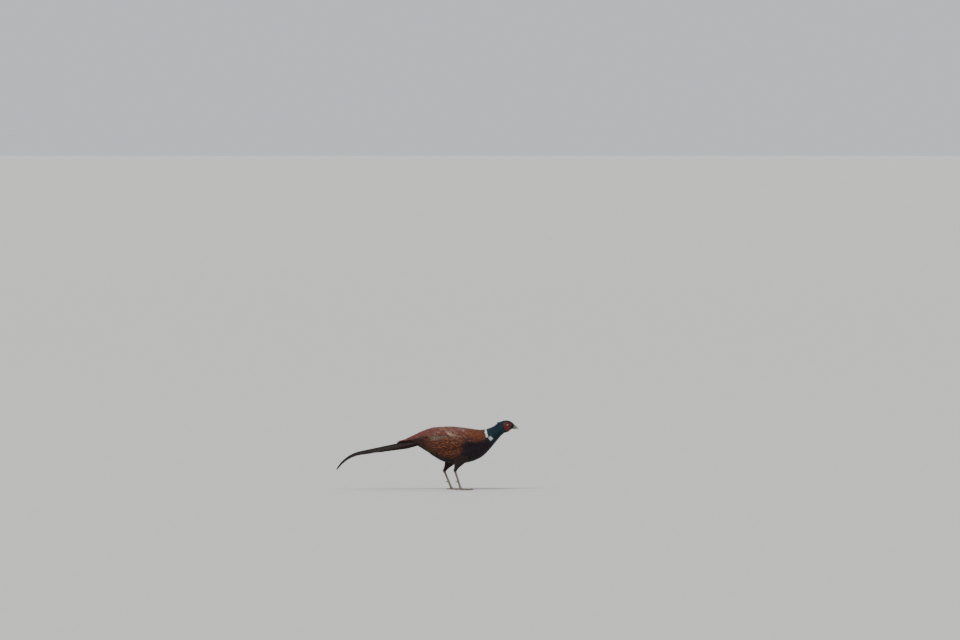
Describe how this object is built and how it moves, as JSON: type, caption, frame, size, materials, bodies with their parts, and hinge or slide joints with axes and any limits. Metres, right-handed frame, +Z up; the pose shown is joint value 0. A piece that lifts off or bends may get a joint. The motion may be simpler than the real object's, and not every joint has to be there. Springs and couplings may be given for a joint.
{
  "type": "common pheasant (cock bird)",
  "caption": "Life-size cock common pheasant, walking low with its neck stretched forward and its long barred tail curving down.",
  "frame": {"origin": "on the floor, under the middle of the bird's whole box, half way between the tip of the bill and the tip of the tail", "axes": "+X towards the bill, +Y towards the bird's left side, +Z up"},
  "size_m": [0.751, 0.126, 0.2846],
  "materials": {
    "plumage": "matte",
    "neck": "iridescent",
    "wing": "matte",
    "tail": "matte",
    "wattle": "satin",
    "bill": "satin",
    "eye": "gloss",
    "leg": "matte",
    "claw": "satin"
  },
  "bodies": {
    "root": {"tail": "tail", "tail_tip": "tail", "torso": "plumage", "neck": "neck", "head": "neck", "bill_upper": "bill", "bill_lower": "bill", "wing_right": "wing", "wing_left": "wing", "eye_right": "eye", "eye_left": "eye", "wattle_right": "wattle", "wattle_left": "wattle", "ear_tuft_right": "neck", "ear_tuft_left": "neck", "thigh_right": "plumage", "thigh_left": "plumage", "shank_right": "leg", "shank_left": "leg", "foot_right": "leg", "foot_left": "leg", "claw_right_inner": "claw", "claw_right_middle": "claw", "claw_right_outer": "claw", "claw_right_hind": "claw", "claw_left_inner": "claw", "claw_left_middle": "claw", "claw_left_outer": "claw", "claw_left_hind": "claw"}
  },
  "joints": []
}
